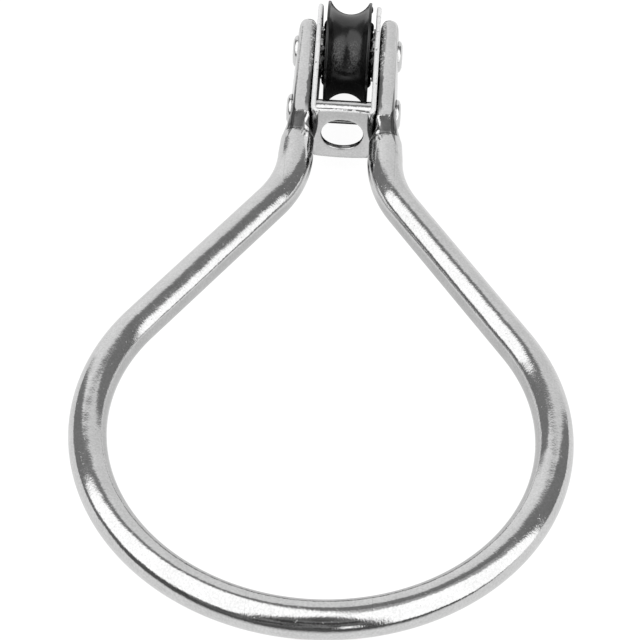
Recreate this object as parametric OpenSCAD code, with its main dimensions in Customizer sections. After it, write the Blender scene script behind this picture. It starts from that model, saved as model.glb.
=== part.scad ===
// Trapeze ring block: a bent rod ring whose two flattened legs are riveted
// to a small ball-bearing sheave block.
// X runs along the sheave axle, +Y runs up the ring towards the block's head,
// +Z stands square to the plane of the ring. The origin is the sheave's centre.

/* [Ring] */
// Diameter of the round rod
rod_d = 6.35; // [5:0.05:8]
// Radius of the ring's round end, to the middle of the rod
bow_r = 38.45; // [30:0.05:46]
// Angle of the straight sides from the ring's length
side_angle = 33.4; // [28:0.1:38]
// Radius of the bend at the neck, to the middle of the rod
neck_r = 22; // [12:0.5:26]
// How far the pressing tool sinks the inner side of each leg
leg_press = 0.96; // [0.5:0.02:1.4]
// Length of the straight round part of a leg, above the bend at the neck
leg_straight = 4.2; // [0.4:0.1:6]

/* [Flattened legs] */
// Thickness of a pressed leg
flat_t = 3.5; // [2.8:0.1:4.2]
// Width that the pressed leg has spread to
flat_w = 9.8; // [8:0.1:11]
// Length of the leg beyond the axle
leg_tip = 7.2; // [6:0.1:8.5]
// Flat length left below the lower rivet's head
flat_tail = 2.35; // [1.5:0.05:3]
// Length over which a leg's edges draw in below the flat, until it is round
edge_run = 2.8; // [2:0.1:4.5]
// Length over which a leg swells to its full thickness, up from where it is round
swell_run = 4.9; // [4:0.1:5.5]
// Thickness of a leg in the middle of its swell
shoulder_t = 4.4; // [4.2:0.1:5.2]
// Height of the step that the pressing tool leaves at each end of the blend
die_step = 0.05; // [0.04:0.01:0.1]

/* [Strap] */
// Clear width between the cheeks
strap_gap = 10; // [9:0.1:11]
// Thickness of the strap
strap_t = 0.9; // [0.7:0.05:1.2]
// Width of the strap across its base
strap_w = 11.6; // [11:0.1:13]
// How far each edge of the base swells beside its hole
base_swell = 0.2; // [0.1:0.05:0.6]
// Radius of a cheek's round head
cheek_r = 9.1; // [8.4:0.1:10]
// Distance from the axle to the inner face of the base
base_drop = 21; // [20:0.1:23]
// Inside radius of the two bends
bend_r = 0.6; // [0.3:0.1:1]
// Diameter of the hole in the base
base_hole_d = 8; // [5:0.1:8.2]

/* [Sheave] */
// Diameter over the flanges
sheave_d = 19.5; // [18.5:0.1:20.5]
// Width over the flanges
sheave_w = 7.84; // [7.6:0.02:8.4]
// Diameter at the bottom of the groove
groove_d = 14.8; // [13.8:0.1:16]
// Thickness of a flange at its rim
rim_t = 0.25; // [0.2:0.05:0.6]
// Diameter of the moulding pip on the right flange
pip_d = 1.3; // [0.8:0.1:1.4]
// Height of the moulding pip
pip_h = 0.25; // [0.1:0.05:0.4]

/* [Ball bearing] */
// Diameter of a ball
ball_d = 2; // [1.8:0.05:2.05]
// Radius of the circle that the balls' centres lie on
ball_circle_r = 5.25; // [5.2:0.05:5.5]
// Number of balls on each side of the sheave
ball_count = 16; // [12:1:16]
// Angle of the first ball
ball_phase = 3.6; // [0:0.1:22]
// Height of a ball above the flange
ball_proud = 0.75; // [0.5:0.05:0.8]
// Clearance between a ball and the tracks
ball_clearance = 0.03; // [0.01:0.01:0.05]
// Radius of the lip that keeps the balls in
lip_r = 4.9; // [4.7:0.05:5.1]

/* [Axle and rivets] */
// Diameter of the axle rivet
axle_d = 4; // [3:0.1:4.5]
// Outside diameter of the sleeve on the axle rivet
sleeve_d = 6; // [5.6:0.1:6.6]
// Diameter of the axle rivet's heads
axle_head_d = 6; // [5.4:0.1:7]
// Distance from the axle to the lower rivet
lower_drop = 15.9; // [15:0.1:16.5]
// Diameter of the lower rivet
lower_d = 3; // [2.4:0.1:3.2]
// Outside diameter of the spacer tube on the lower rivet
spacer_d = 4.3; // [3.9:0.1:4.8]
// Diameter of the lower rivet's heads
lower_head_d = 5.7; // [4.8:0.1:6.4]
// Height of a rivet head
head_h = 0.9; // [0.7:0.05:1.2]
// Height of the straight edge of a rivet head
head_edge = 0.4; // [0.2:0.05:0.6]
// Clearance of a rivet in its holes and tubes
rivet_clearance = 0.05; // [0.02:0.01:0.1]
// Clearance of a race on the sleeve
race_clearance = 0.02; // [0.01:0.01:0.05]
// Clearance between the sheave's web and what stands still inside it
web_clearance = 0.3; // [0.1:0.05:0.4]
// End play of the sheave between the races
end_play = 0.06; // [0.04:0.01:0.1]

/* [Hidden] */
$fn = 96;
hull_fn = 32;
// a hair by which one solid runs into the next so that they join
bite = 0.02;
// how far a leg's blend runs into the rod and into the flat
run_in = 0.2;
// angle of the round end that its middle piece takes
middle_arc = 40;

cheek_in = strap_gap / 2;
cheek_out = cheek_in + strap_t;
flat_x = cheek_out + flat_t / 2;
leg_face = cheek_out + flat_t;
leg_x = cheek_out + rod_d / 2 - leg_press;
flat_end = -lower_drop - lower_head_d / 2 - flat_tail;
round_start = flat_end - edge_run;
swell_start = round_start + swell_run;
tip_centre = leg_tip - flat_w / 2;

// the neck's bend rounds the corner between the line of the leg and that of the side
neck_y = round_start - leg_straight;
neck_run = neck_r * tan(side_angle / 2);
// the side leaves the round end at side_angle above its widest point
side_to_corner = (bow_r * cos(side_angle) - leg_x) / sin(side_angle);
side_len = side_to_corner - neck_run;
// distance from the axle to the centre of the round end
bow_drop = bow_r * sin(side_angle) + side_to_corner * cos(side_angle) + neck_run - neck_y;

groove_half = sheave_w / 2 - rim_t;
groove_depth = (sheave_d - groove_d) / 2;
groove_arc_r = (pow(groove_half, 2) + pow(groove_depth, 2)) / (2 * groove_depth);
ball_x = sheave_w / 2 + ball_proud - ball_d / 2;
pocket_r = ball_circle_r + ball_d / 2 + ball_clearance;
pocket_x = ball_x - ball_d / 2 - ball_clearance;
track_r = ball_circle_r - ball_d / 2 - ball_clearance;
lip_x = ball_x + ball_d / 2 + ball_clearance;
race_x = pocket_x + end_play;
pip_r = (sheave_d / 2 + pocket_r) / 2 + pip_d / 3;

cheek_taper = atan2(cheek_r - strap_w / 2, base_drop);
bend_out = bend_r + strap_t;
base_flat = cheek_out - bend_out;
swell_r = (pow(base_flat, 2) + pow(base_swell, 2)) / (2 * base_swell);

function ball_name(side, i) = str("ball_", side, "_", i < 9 ? "0" : "", i + 1);

// a cylinder along X, centred on the plane X = 0
module across(d, length) {
    rotate([0, 90, 0])
        cylinder(d = d, h = length, center = true);
}

// the round rod of one side of the ring: a part of the round end, a straight side
// and the neck's bend, drawn with the side upright and turned into place
module rod_side() {
    translate([0, -bow_drop, 0])
        rotate([0, 0, side_angle]) {
            rotate_extrude(angle = middle_arc / 2 - 90 - side_angle)
                translate([bow_r, 0])
                    circle(d = rod_d);
            translate([bow_r, 0, 0])
                rotate([-90, 0, 0])
                    cylinder(d = rod_d, h = side_len);
            translate([bow_r, side_len, 0])
                translate([neck_r, 0, 0])
                    rotate([0, 0, 180])
                        rotate_extrude(angle = -side_angle)
                            translate([neck_r, 0])
                                circle(d = rod_d);
        }
}

// the middle of the round end, a hair thicker, which takes in the ends of both sides
module rod_middle() {
    reach = middle_arc + 2;
    translate([0, -bow_drop, 0])
        rotate([0, 0, -90 - reach / 2])
            rotate_extrude(angle = reach)
                translate([bow_r, 0])
                    circle(d = rod_d + 2 * bite);
}

// a thin slice of a leg with round edges, t thick and w wide, whose top is at y
module leg_slice(x, y, t, w) {
    for (edge = [-1, 1])
        translate([x, y, edge * (w - t) / 2])
            rotate([90, 0, 0])
                cylinder(d = t - 2 * die_step, h = bite, $fn = hull_fn);
}

// the pressed flat of one leg, with round edges and a full round tip
module leg_flat() {
    core_w = flat_w - flat_t;
    translate([cheek_out, flat_end, -core_w / 2])
        cube([flat_t, tip_centre - flat_end, core_w]);
    for (edge = [-1, 1])
        translate([flat_x, flat_end, edge * core_w / 2])
            rotate([-90, 0, 0])
                cylinder(d = flat_t, h = tip_centre - flat_end);
    translate([flat_x, tip_centre, 0])
        rotate([0, 90, 0])
            rotate_extrude(angle = 180) {
                translate([0, -flat_t / 2])
                    square([core_w / 2, flat_t]);
                translate([core_w / 2, 0])
                    circle(d = flat_t);
            }
}

module leg_half() {
    shoulder_x = cheek_out + shoulder_t / 2;
    shoulder_y = (swell_start + round_start) / 2;
    rod_side();
    translate([leg_x, round_start, 0])
        rotate([90, 0, 0])
            cylinder(d = rod_d + 2 * bite, h = leg_straight + run_in);
    leg_flat();
    // the edges draw in
    hull() {
        leg_slice(flat_x, flat_end + 3 * bite, flat_t, flat_w);
        leg_slice(leg_x, round_start - run_in, rod_d, rod_d);
    }
    // the outer side swells, clear of the strap's base until its middle
    hull() {
        leg_slice(flat_x, swell_start, flat_t, rod_d);
        leg_slice(shoulder_x, shoulder_y, shoulder_t, rod_d);
    }
    hull() {
        leg_slice(shoulder_x, shoulder_y, shoulder_t, rod_d);
        leg_slice(leg_x, round_start - run_in, rod_d, rod_d);
    }
}

module ring() {
    color([0.78, 0.78, 0.79])
        difference() {
            union() {
                leg_half();
                mirror([1, 0, 0])
                    leg_half();
                rod_middle();
            }
            across(axle_d + 2 * rivet_clearance, 4 * leg_face);
            translate([0, -lower_drop, 0])
                across(lower_d + 2 * rivet_clearance, 4 * leg_face);
        }
}

// the strip bent to a U, before its outline is cut
module strap_u() {
    base_y = -base_drop - strap_t;
    bend_y = -base_drop + bend_r;
    reach = cheek_r + base_swell;
    for (side = [-1, 1]) {
        translate([side > 0 ? cheek_in : -cheek_out, bend_y, -reach])
            cube([strap_t, cheek_r - bend_y, 2 * reach]);
        intersection() {
            translate([side * base_flat, bend_y, 0])
                difference() {
                    cylinder(r = bend_out, h = 2 * reach, center = true);
                    cylinder(r = bend_r, h = 3 * reach, center = true);
                }
            translate([side > 0 ? base_flat : -cheek_out, base_y, -reach])
                cube([bend_out, bend_out, 2 * reach]);
        }
    }
    translate([-base_flat, base_y, -reach])
        cube([2 * base_flat, strap_t, 2 * reach]);
}

// the outline of the strap seen along the axle, as thick as the whole block
module strap_outline() {
    base_y = -base_drop - strap_t;
    dip = cheek_r * sin(cheek_taper);
    half = cheek_r * cos(cheek_taper);
    across(2 * cheek_r, 2 * cheek_out);
    translate([-cheek_out, 0, 0])
        rotate([90, 0, 90])
            linear_extrude(2 * cheek_out)
                polygon([
                    [dip, -half], [dip, half], [-base_drop, strap_w / 2],
                    [base_y, strap_w / 2], [base_y, -strap_w / 2], [-base_drop, -strap_w / 2]
                ]);
}

// the two swells of the base beside its hole
module base_lens() {
    centre_z = swell_r - strap_w / 2 - base_swell;
    translate([0, -base_drop, 0])
        rotate([90, 0, 0])
            intersection() {
                translate([0, centre_z, 0])
                    cylinder(r = swell_r, h = strap_t);
                translate([0, -centre_z, 0])
                    cylinder(r = swell_r, h = strap_t);
                translate([-base_flat, -strap_w, 0])
                    cube([2 * base_flat, 2 * strap_w, strap_t]);
            }
}

module block_strap() {
    color([0.82, 0.82, 0.83])
        difference() {
            union() {
                intersection() {
                    strap_u();
                    strap_outline();
                }
                base_lens();
            }
            across(axle_d + 2 * rivet_clearance, 4 * cheek_out);
            translate([0, -lower_drop, 0])
                across(lower_d + 2 * rivet_clearance, 4 * cheek_out);
            translate([0, -base_drop, 0])
                rotate([90, 0, 0])
                    cylinder(d = base_hole_d, h = 4 * strap_t, center = true);
        }
}

module sheave() {
    color([0.09, 0.09, 0.09]) {
        difference() {
            across(sheave_d, sheave_w);
            rotate([0, 90, 0])
                rotate_extrude()
                    translate([groove_d / 2 + groove_arc_r, 0])
                        circle(r = groove_arc_r);
            across(sleeve_d + 2 * web_clearance, 2 * sheave_w);
            for (side = [-1, 1])
                translate([side * (pocket_x + sheave_w / 2), 0, 0])
                    across(2 * pocket_r, sheave_w);
        }
        translate([sheave_w / 2 - bite, pip_r * cos(45), pip_r * sin(45)])
            rotate([0, 90, 0])
                cylinder(d = pip_d, h = pip_h + bite);
    }
}

// the inner race of one side, with the lip that keeps its balls in
module race(side) {
    color([0.75, 0.75, 0.76])
        difference() {
            union() {
                translate([side * (race_x + cheek_in) / 2, 0, 0])
                    across(2 * track_r, cheek_in - race_x);
                translate([side * (lip_x + cheek_in) / 2, 0, 0])
                    across(2 * lip_r, cheek_in - lip_x);
            }
            across(sleeve_d + 2 * race_clearance, 4 * cheek_in);
        }
}

// a tube between the cheeks
module tube_between(outer, inner) {
    difference() {
        across(outer, 2 * cheek_in);
        across(inner, 3 * cheek_in);
    }
}

module axle_sleeve() {
    color([0.7, 0.7, 0.71])
        tube_between(sleeve_d, axle_d + 2 * rivet_clearance);
}

module lower_spacer() {
    color([0.78, 0.78, 0.79])
        translate([0, -lower_drop, 0])
            tube_between(spacer_d, lower_d + 2 * rivet_clearance);
}

// a rivet through both legs, with a low domed head outside each
module rivet(d, head_d) {
    dome_h = head_h - head_edge;
    dome_r = (pow(head_d / 2, 2) + pow(dome_h, 2)) / (2 * dome_h);
    across(d, 2 * (leg_face + head_edge));
    for (turn = [-90, 90])
        rotate([0, turn, 0])
            intersection() {
                translate([0, 0, leg_face])
                    cylinder(d = head_d, h = head_h);
                translate([0, 0, leg_face + head_h - dome_r])
                    sphere(r = dome_r);
            }
}

module axle_rivet() {
    color([0.8, 0.8, 0.81])
        rivet(axle_d, axle_head_d);
}

module lower_rivet() {
    color([0.8, 0.8, 0.81])
        translate([0, -lower_drop, 0])
            rivet(lower_d, lower_head_d);
}

module ball(side, i) {
    turn = ball_phase + i * 360 / ball_count;
    color([0.06, 0.06, 0.06])
        translate([side * ball_x, ball_circle_r * cos(turn), ball_circle_r * sin(turn)])
            sphere(d = ball_d, $fn = 48);
}

ring();
block_strap();
sheave();
race(-1);  // race_left
race(1);  // race_right
axle_sleeve();
axle_rivet();
lower_spacer();
lower_rivet();
for (i = [0 : ball_count - 1]) {
    ball(-1, i);
    ball(1, i);
}
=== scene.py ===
"""The looks of a trapeze ring block: a pear-shaped ring of polished steel rod whose pressed
ends are riveted to a small strap block with a black plastic ball-bearing sheave."""

import bmesh
import bpy
import numpy as np
from mathutils import Matrix


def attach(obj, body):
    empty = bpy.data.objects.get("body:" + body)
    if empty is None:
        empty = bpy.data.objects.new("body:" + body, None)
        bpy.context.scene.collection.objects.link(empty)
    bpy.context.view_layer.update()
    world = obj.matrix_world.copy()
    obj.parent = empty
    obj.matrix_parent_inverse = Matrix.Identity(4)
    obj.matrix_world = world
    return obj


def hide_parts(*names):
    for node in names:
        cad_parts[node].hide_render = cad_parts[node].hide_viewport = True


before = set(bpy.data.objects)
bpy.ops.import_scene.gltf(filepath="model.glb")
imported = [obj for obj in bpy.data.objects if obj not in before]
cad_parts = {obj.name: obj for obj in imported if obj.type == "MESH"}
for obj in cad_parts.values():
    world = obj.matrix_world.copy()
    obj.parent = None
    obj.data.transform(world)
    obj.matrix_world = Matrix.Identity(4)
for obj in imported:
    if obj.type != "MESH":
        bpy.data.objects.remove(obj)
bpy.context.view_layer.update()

# The ring is one length of 6.35 mm stainless rod. It is bent cold to a round end, two straight
# sides and two bends at the neck, its ends are pressed flat between dies, and the whole is
# tumbled until it shines, which leaves a fine grain and small dings.
MM = 0.001
rod_r = 3.175
bow_r, bow_y = 38.45, -92.2413
side_angle = np.radians(33.4)
neck_r, neck_y, side_len = 22.0, -28.1, 36.97
leg_x, flat_x, tip_r = 8.115, 7.65, 4.9
leg_rows = np.r_[
    np.linspace(0, 18.6, 16), np.linspace(18.8, 20.8, 12), np.linspace(20.9, 21.5, 10),
    np.linspace(21.65, 23.3, 12), np.linspace(23.4, 24.0, 10), np.linspace(24.2, 28.0, 18),
]


def rod_side_line():
    """The rod's middle line on the right, from the axle down to the middle of the bow. In
    words: a straight leg, an arc of the neck's radius that turns by the side's angle, a
    straight side, and an arc of the bow's radius that ends at its lowest point. It returns
    each point and the direction across the rod that points out of the ring."""
    turn = np.pi + np.linspace(0, side_angle, 26)
    bow_turn = np.linspace(side_angle, -np.pi / 2, 110)
    along = np.linspace(0, side_len, 38)[1:-1]
    start = np.array([leg_x + neck_r + neck_r * np.cos(turn[-1]), neck_y + neck_r * np.sin(turn[-1])])
    down = np.array([np.sin(side_angle), -np.cos(side_angle)])
    points = np.vstack([
        np.c_[eased(leg_rows, [21.1, 23.9], [flat_x, leg_x]), -leg_rows],
        np.c_[leg_x + neck_r + neck_r * np.cos(turn), neck_y + neck_r * np.sin(turn)],
        start + along[:, None] * down,
        np.c_[bow_r * np.cos(bow_turn), bow_y + bow_r * np.sin(bow_turn)],
    ])
    angle = np.r_[np.zeros(len(leg_rows)), turn - np.pi, np.full(len(along), side_angle), bow_turn]
    return points, np.c_[np.cos(angle), np.sin(angle)]


def rod_section(outer, inner, wide, plate, edge, square):
    """Sections of the rod, one per row: a plate with rounded edges joined to a swelling, both
    as wide as the row. In words: at the share s of the width the plate's half thickness is
    plate * (1 - s^square)^(1 / edge), the swelling's is an ellipse of the half thickness outer or
    inner, and the two join as the 10th root of the sum of their 10th powers. It returns the
    outline's two coordinates, first out of the ring."""
    turn = np.linspace(-np.pi / 2, np.pi / 2, 49)
    flat = np.maximum(1 - np.abs(np.sin(turn)) ** square[:, None], 0) ** (1 / edge[:, None])
    sides = [
        ((plate[:, None] * flat) ** 10 + np.maximum(half[:, None] * np.cos(turn), 1e-3) ** 10) ** 0.1
        for half in (outer, inner)
    ]
    z = wide[:, None] * np.sin(turn)
    return np.hstack([sides[0], -sides[1][:, -2:0:-1]]), np.hstack([z, z[:, -2:0:-1]])


def eased(x, at, values, ease=0.35):
    """Straight runs between the given values whose corners are rounded over the ease length:
    the mean of the broken line over a short window around each place."""
    window = np.linspace(-ease, ease, 9)
    return np.interp(x[:, None] + window, at, values).mean(1)


def grid_faces(rows, columns, first=0, closed=False):
    """Quads between neighbouring points of a grid of rows by columns."""
    i, j = np.meshgrid(np.arange(rows - 1), np.arange(columns if closed else columns - 1), indexing="ij")
    k = (j + 1) % columns
    quads = np.stack([i * columns + j, i * columns + k, (i + 1) * columns + k, (i + 1) * columns + j], -1)
    return quads.reshape(-1, 4) + first


def make_piece(name, parts, material, sharp=None, rim=None):
    """A mesh object from surfaces given in millimetres as (points, quads). Their shared edges
    are merged, faces with no area go, and the normals are turned outwards. The values in rim,
    one per point, are kept as the attribute rim."""
    points = np.vstack([np.reshape(p, (-1, 3)) for p, _ in parts]) * MM
    offsets = np.cumsum([0] + [np.reshape(p, (-1, 3)).shape[0] for p, _ in parts[:-1]])
    quads = np.vstack([q + o for (_, q), o in zip(parts, offsets)])
    mesh = bpy.data.meshes.new(name)
    mesh.from_pydata(points.tolist(), [], quads.tolist())
    if rim is not None:
        values = np.concatenate(rim).astype(float)
        mesh.attributes.new("rim", "FLOAT", "POINT").data.foreach_set("value", values)
    work = bmesh.new()
    work.from_mesh(mesh)
    bmesh.ops.remove_doubles(work, verts=work.verts, dist=2e-6)
    bmesh.ops.recalc_face_normals(work, faces=work.faces)
    work.to_mesh(mesh)
    work.free()
    mesh.polygons.foreach_set("use_smooth", [True] * len(mesh.polygons))
    if sharp is not None:
        mesh.set_sharp_from_angle(angle=np.radians(sharp))
    mesh.materials.append(material)
    piece = bpy.data.objects.new(name, mesh)
    bpy.context.scene.collection.objects.link(piece)
    return piece


def add_node(tree, kind, inputs=(), **values):
    """A new node with its values set and its inputs set or linked. It returns the output
    called Value, or else the first one."""
    made = tree.nodes.new(kind)
    for key, value in values.items():
        setattr(made, key, value)
    for key, value in dict(inputs).items():
        if isinstance(value, bpy.types.NodeSocket):
            tree.links.new(value, made.inputs[key])
        else:
            made.inputs[key].default_value = value
    return made.outputs["Value"] if "Value" in made.outputs else made.outputs[0]


class Finish:
    """A material's node tree, with the few kinds of node that the finishes here use."""

    def __init__(self, name):
        self.material = bpy.data.materials.new(name)
        self.material.use_nodes = True
        self.tree = self.material.node_tree
        self.shader = self.tree.nodes["Principled BSDF"]
        self.place = self.tree.nodes.new("ShaderNodeTexCoord").outputs["Object"]

    def node(self, kind, inputs=(), **values):
        """A new node of this tree."""
        return add_node(self.tree, kind, inputs, **values)

    def noise(self, size, detail=3.0, rough=0.55, stretch=(1, 1, 1)):
        """Noise whose patches are about size millimetres across."""
        spot = self.node("ShaderNodeMapping", {"Vector": self.place, "Scale": stretch})
        return self.node("ShaderNodeTexNoise", {
            "Vector": spot, "Scale": 0.6 / (size * MM), "Detail": detail, "Roughness": rough,
        })

    def axes(self):
        """The three coordinates of the place on the piece, in metres."""
        apart = self.tree.nodes.new("ShaderNodeSeparateXYZ")
        self.tree.links.new(self.place, apart.inputs[0])
        return apart.outputs

    def attribute(self, name):
        """A value that the mesh carries at its points."""
        made = self.tree.nodes.new("ShaderNodeAttribute")
        made.attribute_name = name
        return made.outputs["Fac"]

    def math(self, operation, *values):
        """One sum on sockets or numbers."""
        return self.node("ShaderNodeMath", dict(enumerate(values)), operation=operation)

    def product(self, first, *others):
        """The values multiplied."""
        for value in others:
            first = self.math("MULTIPLY", first, value)
        return first

    def total(self, first, *others):
        """The values added up."""
        for value in others:
            first = self.math("ADD", first, value)
        return first

    def off(self, first, other):
        """How far two values lie apart."""
        return self.math("ABSOLUTE", self.math("SUBTRACT", first, other))

    def between(self, source, low, high, start=0.3, end=0.7):
        """The source's range from start to end, drawn out to low to high."""
        return self.node("ShaderNodeMapRange", {
            "Value": source, "From Min": start, "From Max": end, "To Min": low, "To Max": high,
        })

    def above(self, source, start, end):
        """0 where the source is under start, 1 where it is over end."""
        return self.between(source, 0.0, 1.0, start, end)

    def ramp(self, place, start, end, low=0.0, high=1.0):
        """Low to high as a place goes from start to end, both in millimetres."""
        return self.between(place, low, high, start * MM, end * MM)

    def wander(self, size, reach, detail=3.0, rough=0.55):
        """Noise that moves a border by up to reach millimetres either way."""
        return self.between(self.noise(size, detail, rough), -reach * MM, reach * MM)

    def toned(self, mask, level):
        """1 outside a mask, and the level where it is full."""
        return self.between(mask, 1.0, level, 0.0, 1.0)

    def uphill(self):
        """How far a place lies along the direction that the camera sees as up, square to the
        axle: the dot product of the two."""
        up_y, up_z = 0.738, 0.675
        _, y, z = self.axes()
        return self.total(self.product(y, up_y), self.product(z, up_z))

    def grey(self, level):
        """A neutral colour of the given level."""
        return self.node("ShaderNodeCombineColor", dict.fromkeys(("Red", "Green", "Blue"), level))

    def bump(self, height, depth, normal=None):
        """A normal from a height map that is depth millimetres deep, or as deep as a socket says."""
        deep = depth if isinstance(depth, bpy.types.NodeSocket) else depth * MM
        sockets = {"Height": height, "Distance": deep, "Strength": 1.0}
        if normal is not None:
            sockets["Normal"] = normal
        return self.node("ShaderNodeBump", sockets)

    def wire(self, **sockets):
        """Link or set the shader's own sockets, named with _ for a space."""
        for key, value in sockets.items():
            socket = self.shader.inputs[key.replace("_", " ")]
            if isinstance(value, bpy.types.NodeSocket):
                self.tree.links.new(value, socket)
            else:
                socket.default_value = value
        return self.material


def steel(f, tone, rough, grain, dings, waves=0.0, worn=0.0, shade=1.0):
    """Bright stainless steel: a fine grain, small dings, slow waves, duller patches, and fine
    specks. It is matt and pale where worn is 1, and darker where shade is under 1."""
    speck = f.between(f.noise(0.22, 2.0, 0.5), -0.05, 0.05)
    patches = f.between(f.noise(3.0), tone - 0.03, tone + 0.03)
    satin = f.between(f.noise(1.2, 5.0, 0.65), rough * 0.7, rough * 1.4)
    fine = f.bump(f.noise(0.26, 2.0, 0.5), f.math("MULTIPLY_ADD", worn, 0.05 * MM, grain * MM))
    small = f.bump(f.noise(1.1, 3.0, 0.55), dings, fine)
    return f.wire(
        Metallic=f.math("MULTIPLY_ADD", worn, -0.8, 1.0),
        Base_Color=f.grey(f.product(shade, f.total(f.math("MULTIPLY_ADD", worn, 0.26, speck), patches))),
        Roughness=f.math("MULTIPLY_ADD", worn, 0.3, satin),
        Normal=f.bump(f.noise(4.0, 2.0, 0.5), waves, small),
    )


def pressed_step(f, aside, y, high):
    """The mask of the step that the dies press at the foot of each flat, where the ring's finish paints a
    dark reflection. In words: a band from y -24 to -21 mm with ragged borders. Its top hangs lower at the
    flat's corners and climbs along its outer edge, and its bottom drops on the outer side."""
    ragged = f.total(y, f.wander(0.6, 0.45, 4.0, 0.65))
    top = f.total(
        f.ramp(aside, 6.5, 7.3, -0.5 * MM, 0.0),
        f.ramp(aside, 7.9, 8.5, 0.0, -0.6 * MM),
        f.ramp(aside, 8.45, 9.6, 0.0, 4.2 * MM),
    )
    bottom = f.ramp(aside, 9.5, 10.8, 0.0, 1.3 * MM)
    return f.product(
        f.ramp(f.math("SUBTRACT", ragged, top), -21.1, -20.95, 1.0, 0.0),
        f.ramp(f.total(ragged, bottom), -23.95, -23.8),
        f.ramp(high, 2.35, 2.6),
        f.ramp(f.math("MULTIPLY_ADD", y, -0.12, aside), 9.5, 9.65),
    )


def outer_line(f, aside, y, high):
    """The mask of a painted dark reflection: a dark line beside each flat's outer edge. It
    widens down to the step, and below the step it runs outwards to a point."""
    middle = f.ramp(y, -26.4, -22.8, 9.84 * MM, 9.05 * MM)
    half = f.product(f.ramp(y, -26.4, -23.8, 0.0, 0.33 * MM), f.ramp(y, -21, -13, 1.0, 0.1))
    edge = f.ramp(f.math("SUBTRACT", half, f.off(aside, middle)), -0.04, 0.05)
    return f.product(edge, f.ramp(high, 1.9, 2.2))


def ring_finish():
    """The ring's steel: a fine tumbled grain with small dings and nicks. The pressed step is
    rougher, and its colour is painted dark as a dark reflection. The flats carry painted shade on
    their inner side and are rough there, with pale matt flecks beside the cheeks that are painted
    glints. A painted dark line runs beside each flat's outer edge, a small dark tick and a pale
    bruise lie at the foot's inner corner, and painted shadow darkens the narrow gap between
    each foot and the strap's fold."""
    f = Finish("polished_rod")
    x, y, z = f.axes()
    # how far out from the ring's middle line, and how far up or down from its middle plane
    aside, high = f.math("ABSOLUTE", x), f.math("ABSOLUTE", z)
    step = pressed_step(f, aside, y, high)
    # the flats' inner side beside the cheeks, which gets painted shade
    inner = f.ramp(f.math("SUBTRACT", aside, f.wander(1.5, 0.2)), 6.85, 7.0, 1.0, 0.0)
    inner = f.product(inner, f.ramp(y, -21, -19))
    beside = f.product(inner, f.ramp(y, -11, -7))
    # pale matt flecks beside the cheeks: painted glints
    glint_flecks = f.product(beside, f.above(f.noise(0.4, 3.0, 0.6), 0.54, 0.58))
    tick = f.product(f.ramp(aside, 6.75, 6.9, 1.0, 0.0), f.ramp(f.off(y, -22.9 * MM), 0.12, 0.2, 1.0, 0.0))
    bruise = f.product(
        f.ramp(aside, 6.1, 6.25),
        f.ramp(aside, 6.5, 6.75, 0.75, 0.0),
        f.ramp(f.off(y, -24.95 * MM), 0.55, 0.75, 1.0, 0.0),
        f.ramp(high, 1.2, 1.5),
    )
    pale = f.math("MAXIMUM", glint_flecks, bruise)
    # the narrow gap between each foot and the strap's fold, painted dark as its shadow
    gap = f.product(f.ramp(aside, 5.95, 6.15, 1.0, 0.0), f.ramp(y, -25.8, -24.6))
    # painted shade: the step painted dark as a dark reflection, painted shade on the flats' inner side, the
    # painted dark line and the tick, and the painted shadow in the gap
    shade = f.product(
        f.toned(step, 0.26),
        f.toned(inner, f.ramp(y, -12, -9, 0.3, 0.62)),
        f.toned(f.math("MAXIMUM", outer_line(f, aside, y, high), tick), 0.3),
        f.toned(gap, 0.14),
    )
    speck = f.between(f.noise(0.22, 2.0, 0.5), -0.05, 0.05)
    tone = f.product(f.total(speck, f.between(f.noise(3.0), 0.65, 0.71)), shade)
    deep = f.math("MULTIPLY_ADD", beside, 0.1 * MM, 0.01 * MM)
    nicks = f.bump(f.above(f.noise(0.3, 2.0, 0.5), 0.25, 0.32), deep)
    fine = f.bump(f.noise(0.2, 2.0, 0.5), 0.014, nicks)
    small = f.bump(f.noise(0.9, 3.0, 0.5), 0.009, fine)
    return f.wire(
        Metallic=f.math("MULTIPLY_ADD", pale, -0.8, 1.0),
        Base_Color=f.grey(f.math("MULTIPLY_ADD", pale, 0.65, tone)),
        Roughness=f.math("MULTIPLY_ADD", step, 0.2, f.between(f.noise(1.2, 5.0, 0.65), 0.06, 0.12)),
        Normal=f.bump(f.noise(4.0, 2.0, 0.5), 0.12, small),
    )


points, across = rod_side_line()
run, middle_x = -points[:, 1], points[:, 0]
on_rod = np.arange(len(run)) >= len(leg_rows)
leg_outside = eased(run, [0, 13.0, 20.3, 24.1, 28.0], [9.42, 9.72, 9.85, 11.04, 11.29])
leg_inside = eased(run, [19.0, 21.45, 23.9], [6.9, 5.9, 4.94])
leg_wide = eased(run, [21.1, 23.65, 25.6], [tip_r, 2.95, rod_r], 0.12)
leg_plate = eased(run, [21.3, 23.2, 23.9], [1.75, 1.45, 0.0], 0.12)
u, z = rod_section(
    outer=np.where(on_rod, rod_r, leg_outside - middle_x),
    inner=np.where(on_rod, rod_r, middle_x - leg_inside),
    wide=np.where(on_rod, rod_r, leg_wide),
    plate=np.where(on_rod, 0.0, leg_plate),
    edge=np.interp(run, [0, 16, 20], [2.6, 4.5, 6.0]),
    square=np.interp(run, [0, 14], [4.8, 7.0]),
)
# the dies push each flat's lower corners up to 0.35 mm down the leg, most of all at y -21.2
at_corner = np.exp(-(((run - 21.2) / 0.9) ** 2))[:, None] * np.minimum(np.abs(u) / 1.75, 1) ** 2
pushed = np.where((np.abs(z) > 3.6) & ~on_rod[:, None], -0.35 * at_corner, 0)
side = np.stack([middle_x[:, None] + across[:, :1] * u, points[:, 1:] + across[:, 1:] * u + pushed, z], -1)
rod = np.vstack([side, side[-2::-1] * [-1, 1, 1]])


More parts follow.
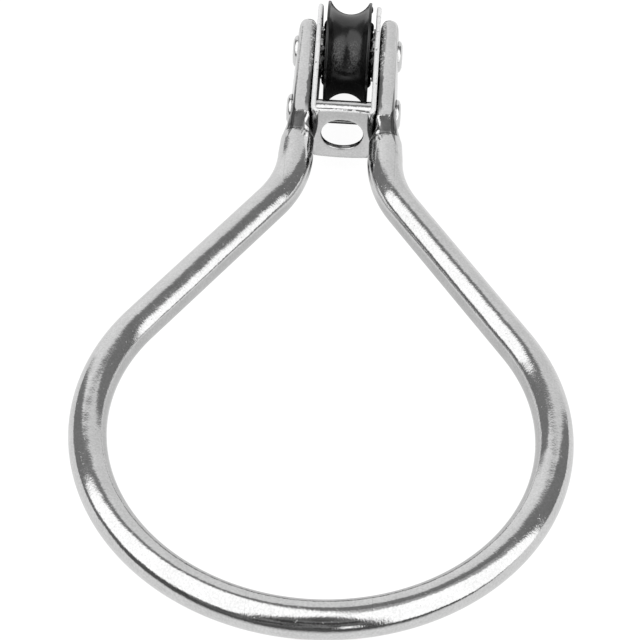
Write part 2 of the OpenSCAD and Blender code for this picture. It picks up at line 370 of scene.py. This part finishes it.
def leg_tip(sign, length):
    """A leg's round tip, as far above the axle as length. In words: the flat's outline on its
    near side runs straight up, turns through half a circle about the tip's middle, and runs
    straight down again on the far side."""
    half_circle = np.linspace(0, np.pi, 33)
    turn = np.r_[0, half_circle, np.pi][:, None]
    rise = np.r_[0, np.full(len(half_circle), length - tip_r), 0][:, None]
    over_edge = slice(24, 73)  # from the middle of the flat's outer face to that of its inner face
    rim_u, rim_z = u[:1, over_edge], z[:1, over_edge]
    x = sign * (flat_x + rim_u) + 0 * turn
    tip = np.stack([x, rise + rim_z * np.sin(turn), rim_z * np.cos(turn)], -1)
    return tip, grid_faces(*tip.shape[:2])


ring = make_piece("bent_ring", [
    (rod, grid_faces(*rod.shape[:2], closed=True)), leg_tip(-1, 6.8), leg_tip(1, 7.6),
], ring_finish())
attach(ring, "frame")
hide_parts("ring")

# The strap is one strip of stainless sheet 0.9 mm thick. It is blanked with round ends and a
# hole, its edges are tumbled round, and it is folded to a U that forms both cheeks and the
# base with the eye.
sheet_t, cheek_r, base_y, fold_r, base_flat, eye_r = 0.9, 9.1, -21.45, 1.05, 4.4, 3.84
fold_end = base_flat + fold_r * np.pi / 2
base_curve_r, base_half, edge_round_r, eye_round_r = 48.5, 6.0, 0.4, 0.13
eye_squash, eye_taper = 0.09, 0.08
taper_end_y, taper_end_half, taper_lean = 1.4126, 8.99, -0.142


def bent_sheet(along, out, lift):
    """The flat blank folded to a U. In words: a place is along the strip from its middle, out
    from its middle line, and lifted off its middle surface to the outside. Up to base_flat it
    lies in the base, then it turns through a right angle, and past fold_end it runs up."""
    turn = np.clip((along - base_flat) / fold_r, 0, np.pi / 2)
    x = np.minimum(along, base_flat) + (fold_r + lift) * np.sin(turn)
    y = base_y + fold_r - (fold_r + lift) * np.cos(turn) + np.maximum(along - fold_end, 0)
    return np.stack([x, y, out], -1)


def rounded_rim(rim, away, depth, first=-1):
    """Half a rounded edge for each point of a rim in the blank's plane: an arc from one face
    to the other that starts depth inside the rim. Away points out of the sheet."""
    arc = np.linspace(first, -first, 11) * np.pi / 2
    back = (depth * (1 - np.cos(arc)))[None, :, None] * away[:, None]
    lift = np.broadcast_to(sheet_t / 2 * np.sin(arc), back.shape[:2])
    return rim[:, None] - back, lift


def face_between(start, end, side, steps=4):
    """Points on one face of the sheet between two rims, both ends left out."""
    share = np.linspace(0, 1, steps + 1)[1:-1, None]
    spots = start[:, None] * (1 - share) + end[:, None] * share
    return spots, np.full(spots.shape[:2], side * sheet_t / 2)


def strap_quarter():
    """One quarter of the strap in the blank's plane, as three grids of (place, lift) whose
    rows go round the sheet's section: the base from its outer edge to the rim of the eye and
    back, the base from the fold to the eye and back, and the cheek from its middle line to
    its outer edge and back."""
    # the base: a bowed edge from the middle to the fold, and the eye's rim from the edge's side
    share = np.linspace(0, 1, 6)
    top_x = np.linspace(0, base_flat, 13)
    top = np.c_[top_x, np.sqrt(base_curve_r**2 - top_x**2) - base_curve_r + base_half]
    corner = top[-1, 1]
    eye = np.r_[np.linspace(90, 50, 13), 50 * share[-2::-1]] * np.pi / 180
    toward_eye = np.c_[np.cos(eye), np.sin(eye)]
    rim, rim_lift = rounded_rim(eye_r * toward_eye, -toward_eye, eye_round_r, first=1)
    rim[..., 1] *= 1 - (eye_squash - eye_taper * rim_lift) * toward_eye[:, None, 1]
    up = np.c_[top_x / base_curve_r, np.sqrt(1 - (top_x / base_curve_r) ** 2)]
    up[-1] = 0, 1
    edge, edge_lift = rounded_rim(top, up, edge_round_r)
    start = np.vstack([edge[:, -1], np.c_[np.full(5, base_flat), (corner - edge_round_r) * share[-2::-1]]])
    upper, upper_lift = face_between(start, rim[:, 0], 1)
    lower, lower_lift = face_between(rim[:, -1], start, -1)
    on_top, on_fold = slice(0, len(top)), slice(len(top) - 1, None)
    base_top = (
        np.hstack([edge, upper[on_top], rim[on_top], lower[on_top]]),
        np.hstack([edge_lift, upper_lift[on_top], rim_lift[on_top], lower_lift[on_top]]),
    )
    fold_line = start[on_fold, None]
    face = sheet_t / 2 + 0 * rim_lift[on_fold, :1]
    base_fold = (
        np.hstack([fold_line, upper[on_fold], rim[on_fold], lower[on_fold], fold_line]),
        np.hstack([face, upper_lift[on_fold], rim_lift[on_fold], lower_lift[on_fold], -face]),
    )
    # the cheek: up through the bend and a straight widening, then the arc of the round head
    y_at = fold_end - base_y - fold_r
    bend = np.linspace(base_flat, fold_end, 9)
    straight = np.linspace(fold_end, taper_end_y + y_at, 6)[1:]
    head = np.linspace(np.arcsin(taper_end_y / cheek_r), np.pi / 2, 25)[1:]
    rows = np.r_[bend, straight, cheek_r * np.sin(head) + y_at]
    taper = np.interp(rows, [fold_end, taper_end_y + y_at], [corner, taper_end_half])
    on_head = np.arange(len(rows)) >= len(bend) + len(straight)
    out = np.where(on_head, cheek_r * np.cos(np.r_[np.zeros(len(rows) - len(head)), head]), taper)
    lean = np.where(rows > fold_end, taper_lean, 0.0)
    away = np.c_[lean, np.ones(len(rows))] / np.hypot(lean, 1)[:, None]
    away[on_head] = np.c_[np.sin(head), np.cos(head)]
    cheek_edge, cheek_lift = rounded_rim(np.c_[rows, out], away, edge_round_r, first=1)
    middle = np.c_[np.minimum(rows, taper_end_y + y_at), np.zeros(len(rows))]
    front, front_lift = face_between(middle, cheek_edge[:, 0], 1, 5)
    back, back_lift = face_between(cheek_edge[:, -1], middle, -1, 5)
    face = sheet_t / 2 + 0 * cheek_lift[:, :1]
    cheek = (
        np.hstack([middle[:, None], front, cheek_edge, back, middle[:, None]]),
        np.hstack([face, front_lift, cheek_lift, back_lift, -face]),
    )
    return base_top, base_fold, cheek


def strap_finish():
    """The strap's steel, which follows the attribute rim. Where it is 1, on the blanked and
    tumbled edges, it is matt and pale with dark flecks. Where it is -1, in the eye's wall, it
    is darkened as painted shade inside the hole. Shearing left a broken dark line along the
    base's two edges."""
    f = Finish("tumbled_sheet")
    x, y, z = f.axes()
    rim = f.attribute("rim")
    line_y = f.total(f.math("MULTIPLY_ADD", x, 0.035, y), f.between(f.noise(2.0, 2.0), 21.4 * MM, 21.6 * MM))
    line = f.product(
        f.ramp(f.math("ABSOLUTE", line_y), 0.14, 0.2, 1.0, 0.0),
        f.above(f.noise(0.9), 0.42, 0.48),
        f.ramp(f.math("ABSOLUTE", x), 4.6, 5.0, 1.0, 0.0),
        f.ramp(f.math("ABSOLUTE", z), 4.8, 5.2),
    )
    worn = f.product(f.above(rim, 0.0, 1.0), f.above(f.noise(0.45, 4.0, 0.6), 0.32, 0.38))
    # painted shade in the eye's wall, times the dark shear line
    shade = f.product(f.between(rim, 0.25, 1.0, -1.0, 0.0), f.toned(line, 0.1))
    return steel(f, 0.68, 0.10, 0.01, 0.015, 0.04, worn, shade)


strap_parts, strap_rim = [], []
for (spots, lift), closed in zip(strap_quarter(), (True, False, False)):
    along, out = spots[..., 0], spots[..., 1]
    in_eye = (along < base_flat - 0.01) & (np.hypot(along, out) < eye_r + 0.2)
    # -1 marks the eye's wall for painted shade, 1 the rounded edges
    on_wall = np.where(in_eye, np.where(lift < 0.3, -1, 0), 1)
    quarter = bent_sheet(along, out, lift)
    for mirror in ((1, 1, 1), (-1, 1, 1), (1, 1, -1), (-1, 1, -1)):
        strap_parts.append((quarter * mirror, grid_faces(*quarter.shape[:2], closed=closed)))
        strap_rim.append(np.where(np.abs(lift) < 0.44, on_wall, 0).ravel())
strap = make_piece("folded_strap", strap_parts, strap_finish(), rim=strap_rim)
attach(strap, "frame")
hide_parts("block_strap")

# The sheave is moulded in black acetal, with a round groove for a 5 to 6 mm line, knife-thin
# flanges and a ball pocket in each side. A pip is left on the right flange by the mould.


def turned(profile, steps=144):
    """A closed outline of (x along the axle, radius) turned about the axle."""
    angle = np.linspace(0, 2 * np.pi, steps, endpoint=False)[:, None]
    x, r = np.asarray(profile, float).T
    points = np.stack([x + 0 * angle, r * np.cos(angle), r * np.sin(angle)], -1)
    closed_rows = np.concatenate([points, points[:1]])
    return closed_rows, grid_faces(len(closed_rows), len(profile), closed=True)


def rounded(outline, radius, steps=5):
    """The outline with each corner replaced by a short curve: a parabola from radius before
    the corner to radius after it, less where an edge is short. A radius of 0 keeps it."""
    p = np.asarray(outline, float)
    before, after = np.roll(p, 1, 0) - p, np.roll(p, -1, 0) - p
    reach = [
        np.minimum(radius, 0.45 * np.hypot(*way.T))[:, None] * way / np.hypot(*way.T)[:, None]
        for way in (before, after)
    ]
    t = np.linspace(0, 1, steps)[None, :, None]
    curve = p[:, None] + reach[0][:, None] * (1 - t) ** 2 + reach[1][:, None] * t**2
    return curve.reshape(-1, 2)


half_w, rim_r, groove_bottom, groove_half = 4.1, 9.745, 7.4, 3.62
pocket_r, pocket_x, bore_r = 6.28, 2.64, 3.3
groove_arc_r = (groove_half**2 + (rim_r - groove_bottom) ** 2) / (2 * (rim_r - groove_bottom))
sweep = np.arcsin(groove_half / groove_arc_r)
groove_turn = np.linspace(-sweep, sweep, 41)[1:-1]
corners = [
    [-pocket_x, bore_r], [-pocket_x, pocket_r], [-half_w, pocket_r], [-half_w, rim_r], [-groove_half, rim_r],
]
groove = np.c_[groove_arc_r * np.sin(groove_turn), groove_bottom + groove_arc_r * (1 - np.cos(groove_turn))]
edge_round = np.r_[0.1, 0.1, 0.15, 0.16, 0.12]
outline = np.vstack([corners, groove, [[-x, r] for x, r in corners[::-1]]])
profile = rounded(outline, np.r_[edge_round, np.zeros(len(groove)), edge_round[::-1]])
pip_r, pip_h, pip_sunk, pip_at = 0.65, 0.25, 0.02, 8.448 * np.sqrt(0.5)
pip_turn, pip_share = np.linspace(0, 2 * np.pi, 25), np.linspace(0, 1, 9)[:, None]
pip = np.stack([
    half_w - pip_sunk + (pip_h + pip_sunk) * np.sqrt(1 - pip_share**2) + 0 * pip_turn,
    pip_at + pip_r * pip_share * np.cos(pip_turn),
    pip_at + pip_r * pip_share * np.sin(pip_turn),
], -1)


def acetal_finish():
    """Black moulded acetal: satin, with a fine grain and faint turning marks. Two paler,
    rougher patches beside the groove's middle, on two sides of the wheel, lie on the part of
    the groove that faces the camera: painted sheen over a deeper grain."""
    f = Finish("black_acetal")
    place_x = f.total(f.axes()[0], f.wander(1.4, 0.3), 0.3 * MM)
    from_patch = f.off(f.math("ABSOLUTE", place_x), 1.4 * MM)
    round_place = f.total(f.uphill(), f.wander(1.2, 0.5))
    # painted sheen: paler stipple in two patches on the groove's camera-facing part, with deeper grain
    sheen_patches = f.product(
        f.ramp(from_patch, 0.65, 1.15, 1.0, 0.12),
        f.ramp(round_place, 1.0, 2.2, 1.0, 0.0),
        f.ramp(round_place, -4.6, -2.8),
    )
    painted_sheen = f.product(sheen_patches, f.between(f.noise(0.22, 3.0, 0.7), 0.0, 0.085, 0.46, 0.64))
    grain = f.bump(f.noise(0.24, 2.0, 0.5), f.math("MULTIPLY_ADD", sheen_patches, 0.06 * MM, 0.012 * MM))
    return f.wire(
        Base_Color=f.grey(f.total(painted_sheen, f.between(f.noise(0.3), 0.002, 0.008))),
        Roughness=f.between(f.noise(0.8, 4.0), 0.16, 0.26),
        Normal=f.bump(f.noise(1.6, 3.0, 0.5, (1.0, 0.4, 0.4)), 0.015, grain),
        Specular_IOR_Level=0.62,
    )


acetal = acetal_finish()
sheave = make_piece("moulded_sheave", [turned(profile), (pip, grid_faces(*pip.shape[:2]))], acetal, sharp=40)
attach(sheave, "sheave")
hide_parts("sheave")

# Two rows of sixteen black plastic balls run in the sheave's pockets, on hardened steel inner
# tracks with a lip that keeps them in. The tracks are painted near black as shade, with painted
# glints. A steel tube spaces the cheeks over the axle.


def ball_finish():
    """Black ball plastic: darker and smoother than the sheave, with fine handling marks."""
    f = Finish("black_ball")
    return f.wire(
        Base_Color=f.grey(f.between(f.noise(0.7), 0.006, 0.012)),
        Roughness=f.between(f.noise(0.35, 4.0), 0.16, 0.3),
        Normal=f.bump(f.noise(0.16), 0.002),
    )


def track_finish():
    """Hardened steel, painted near black all over as shade, with painted glints: small pale
    matt flecks, most of them in a band about the axle's height as the camera sees it."""
    f = Finish("dark_painted_track")
    # painted glints, more of them within about 2 mm of the axle's height as the camera sees it
    glint_band = f.ramp(f.math("ABSOLUTE", f.uphill()), 1.6, 2.8, 0.05, -0.05)
    glint = f.above(f.total(f.noise(0.5, 3.0, 0.6), glint_band), 0.5, 0.56)
    return f.wire(
        Metallic=f.math("MULTIPLY_ADD", glint, -0.8, 1.0),
        Base_Color=f.grey(f.math("MULTIPLY_ADD", glint, 0.92, 0.04)),
        Roughness=f.between(f.noise(0.6, 4.0), 0.12, 0.3),
        Normal=f.bump(f.noise(0.3), 0.02),
    )


ball_plastic, track_steel = ball_finish(), track_finish()
for name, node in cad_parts.items():
    if name.startswith("ball_"):
        node.data.materials[0] = ball_plastic
    # the tracks and the sleeve take the dark finish with painted glints
    elif name.startswith("race_") or name == "axle_sleeve":
        node.data.materials[0] = track_steel

# Two stainless rivets close the block. The upper one goes through both legs, both cheeks and
# the sleeve, and the lower one through a spacer tube. Their heads are low domes, set with a
# spinning tool, so their rims are round.


def rivet_solid(shank_r, head_r, y, seat, head_h=0.9, head_edge=0.72, rim_in=0.75):
    """A rivet along the axle's direction through y: from each end of the shank a flat seat, a
    round rim and a low dome, turned about its own line. The domes close in a point."""
    dome_h = head_h - head_edge
    dome_r = (head_r**2 + dome_h**2) / (2 * dome_h)
    share = np.linspace(0, 1, 15)[:-1] * head_r
    dome = np.c_[seat + head_h - dome_r + np.sqrt(dome_r**2 - share**2), share]
    rim_turn = np.linspace(0.1, 1, 13) * np.pi / 2
    rim = np.c_[seat + head_edge * np.cos(rim_turn) * 0.98, head_r - rim_in * (1 - np.sin(rim_turn))]
    dome = dome[dome[:, 1] < head_r - rim_in - 0.05]
    end = np.vstack([dome, rim, [[seat - 0.01, head_r], [seat - 0.01, shank_r], [0, shank_r]]])
    whole = np.vstack([end, (end * [-1, 1])[-2::-1]])
    angle = np.linspace(0, 2 * np.pi, 73)[:, None]
    x, r = whole.T
    points = np.stack([x + 0 * angle, y + r * np.cos(angle), r * np.sin(angle)], -1)
    return points, grid_faces(*points.shape[:2])


rivet_steel = steel(Finish("set_rivet"), 0.70, 0.10, 0.01, 0.03)
for name, shank_r, head_r, y, seat in (
    ("axle_rivet", 2.0, 3.0, 0.0, 9.4),
    ("lower_rivet", 1.5, 2.85, -15.9, 9.62),
):
    rivet = make_piece("set_" + name, [rivet_solid(shank_r, head_r, y, seat)], rivet_steel, sharp=50)
    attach(rivet, "frame")
    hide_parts(name)
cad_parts["lower_spacer"].data.materials[0] = rivet_steel

# The block lies on a sheet of white paper. In the steel the paper turns dark a little in
# front of the ring, like a dark room past its edge.


def paper_finish():
    """White paper: the camera sees it white with a faint shadow, and all other light meets a
    plain matt white. Polished metal sees it pale, with a painted shadow under the block and
    behind it, a faint painted shade in the oval inside the ring, and dark past a line in front of the ring."""
    f = Finish("white_paper")
    f.material.cycles.emission_sampling = "NONE"
    f.tree.nodes.remove(f.shader)
    x, y, _ = f.axes()
    # painted shadow of the block in the paper's reflection: under the block and behind it
    shadow_level = f.math("MAXIMUM", f.ramp(y, -18.5, -26, 0.04, 1.0), f.ramp(y, 35, 60, 0.04, 1.0))
    shadow_level = f.math("MAXIMUM", f.ramp(f.math("ABSOLUTE", x), 8.2, 9.2, 0.04, 1.0), shadow_level)
    oval = f.node("ShaderNodeMapping", {
        "Vector": f.place, "Location": (0.0, 1.5, 0.0), "Scale": (1 / 0.034, 1 / 0.052, 0.0),
    })
    from_middle = f.node("ShaderNodeVectorMath", {0: oval}, operation="LENGTH")
    # faint painted shade in the oval inside the ring
    inside = f.between(from_middle, 0.78, 1.0, 0.8, 1.05)
    reflected = f.product(f.ramp(y, -172, -148, 0.1, 0.86), shadow_level, inside)
    fibre = f.node("ShaderNodeTexNoise", {"Vector": f.place, "Scale": 900.0})
    matt = f.node("ShaderNodeBsdfDiffuse", {"Color": f.grey(f.between(fibre, 0.76, 0.84, 0.0, 1.0))})
    veil = f.node("ShaderNodeBsdfDiffuse", {"Color": (0.16, 0.16, 0.16, 1)})
    seen = f.node("ShaderNodeAddShader", {0: veil, 1: f.node("ShaderNodeEmission", {"Strength": 0.93})})
    mirrored = f.node("ShaderNodeEmission", {"Strength": reflected})
    path = f.tree.nodes.new("ShaderNodeLightPath").outputs
    shiny = f.node("ShaderNodeMixShader", {0: path["Is Glossy Ray"], 1: matt, 2: mirrored})
    shown = f.node("ShaderNodeMixShader", {0: path["Is Camera Ray"], 1: shiny, 2: seen})
    f.tree.links.new(shown, f.tree.nodes["Material Output"].inputs["Surface"])
    return f.material


sheet = np.linspace(-900, 900, 7)
paper_points = np.stack([*np.meshgrid(sheet, sheet, indexing="ij"), np.full((7, 7), -9.76)], -1)
paper = make_piece("paper_floor", [(paper_points, grid_faces(7, 7))], paper_finish())
if paper.data.polygons[0].normal.z < 0:
    paper.data.flip_normals()

# Plain studio light: two large soft boxes left and right, a dim sheet overhead, a paler one
# behind, a small bright lamp low in front, and a dim room. They are drawn on the world as
# soft-edged panels, so polished steel shows them.
world = bpy.data.worlds.new("studio")
bpy.context.scene.world = world
world.use_nodes = True
sky = world.node_tree
sky.nodes.clear()
ray = add_node(sky, "ShaderNodeTexCoord")


def soft_step(direction, low, high, to_min=0.0, to_max=1.0):
    """A smooth step from to_min to to_max as the dot product of the ray and a direction goes
    from low to high."""
    toward = add_node(sky, "ShaderNodeVectorMath", {0: ray, 1: tuple(direction)}, operation="DOT_PRODUCT")
    return add_node(sky, "ShaderNodeMapRange", {
        "Value": toward, "From Min": low, "From Max": high, "To Min": to_min, "To Max": to_max,
    }, interpolation_type="SMOOTHSTEP")


def multiplied(first, other):
    """Two values of the sky multiplied."""
    return add_node(sky, "ShaderNodeMath", {0: first, 1: other}, operation="MULTIPLY")


def panel(level, strength, corners, soft=0.05):
    """Lay a soft-edged panel over the light so far. Inside means on the inner side of the
    plane through the eye and each two neighbouring corners, so the mask is the product of
    one smooth step for each edge."""
    c = np.array(corners, float)
    mask = 1.0
    for normal in np.cross(c, np.roll(c, -1, 0)):
        mask = multiplied(mask, soft_step(normal / np.linalg.norm(normal), -soft, soft))
    return add_node(sky, "ShaderNodeMix", {"Factor": mask, "A": level, "B": strength})


# the room: its y runs from the near side, -1, to the far side, +1, and it is cluttered in front
light = soft_step((0, 1, 0), -0.5, 0.5, 0.10, 0.22)
clutter = add_node(sky, "ShaderNodeTexNoise", {"Vector": ray, "Scale": 5.0, "Detail": 2.0, "Roughness": 0.5})
clutter = add_node(sky, "ShaderNodeMapRange", {
    "Value": clutter, "From Min": 0.35, "From Max": 0.65, "To Min": 0.3, "To Max": 2.6,
})
light = multiplied(light, soft_step((0, 1, 0), -0.9, -0.4, clutter, 1.0))
dim_sheet = [
    (-0.162, 0.502, 0.849), (-0.011, -0.214, 0.977), (0.5, -0.316, 0.806),
    (0.849, 0.445, 0.286), (0.349, 0.343, 0.872),
]
pale_sheet = [(-0.64, 0.742, -0.2), (-0.43, 0.6, 0.675), (0.373, 0.549, 0.748), (0.715, 0.645, -0.27)]
left_box = [
    (-0.955, 0.184, 0.231), (-0.864, -0.421, 0.277), (-0.428, -0.857, 0.288),
    (0.165, -0.107, 0.981), (-0.103, 0.454, 0.885),
]
right_box = [(0.074, -0.29, 0.954), (0.485, -0.835, -0.261), (0.995, 0.095, -0.04), (0.273, 0.132, 0.953)]
low_lamp = [(0.210, -0.953, 0.216), (0.215, -0.977, 0.01), (0.299, -0.954, 0.01), (0.292, -0.931, 0.216)]
light = panel(light, 0.45, dim_sheet)
light = panel(light, soft_step((1, 0, 0), -0.5, 0.4, 0.92, 0.77), pale_sheet)
light = panel(light, 1.45, left_box)
light = panel(light, 1.45, right_box)
light = panel(light, 1.6, low_lamp, 0.012)
seen_white = add_node(sky, "ShaderNodeBackground", {"Strength": 1.0, "Color": (1, 1, 1, 1)})
studio = add_node(sky, "ShaderNodeBackground", {"Strength": light, "Color": (1, 1, 1, 1)})
path = sky.nodes.new("ShaderNodeLightPath").outputs
both = add_node(sky, "ShaderNodeMixShader", {0: path["Is Camera Ray"], 1: studio, 2: seen_white})
sky.links.new(both, sky.nodes.new("ShaderNodeOutputWorld").inputs["Surface"])

# The camera stands above the bow and looks down along the ring to the block.
camera_data = bpy.data.cameras.new("camera")
camera_data.sensor_width = 36.0
camera_data.lens = 153.1
camera_data.clip_start = 0.02
camera = bpy.data.objects.new("camera", camera_data)
look = np.array([-0.015876, 0.672857, -0.739603])
look /= np.linalg.norm(look)
right = np.cross(look, [-0.058361, 0.737811, 0.672480])
right /= np.linalg.norm(right)
pose = Matrix(np.c_[right, np.cross(right, look), -look].tolist()).to_4x4()
pose.translation = (0.00584575, -0.38079784, 0.34407116)
camera.matrix_world = pose
bpy.context.scene.collection.objects.link(camera)
bpy.context.scene.camera = camera
bpy.context.scene.view_settings.view_transform = "Standard"
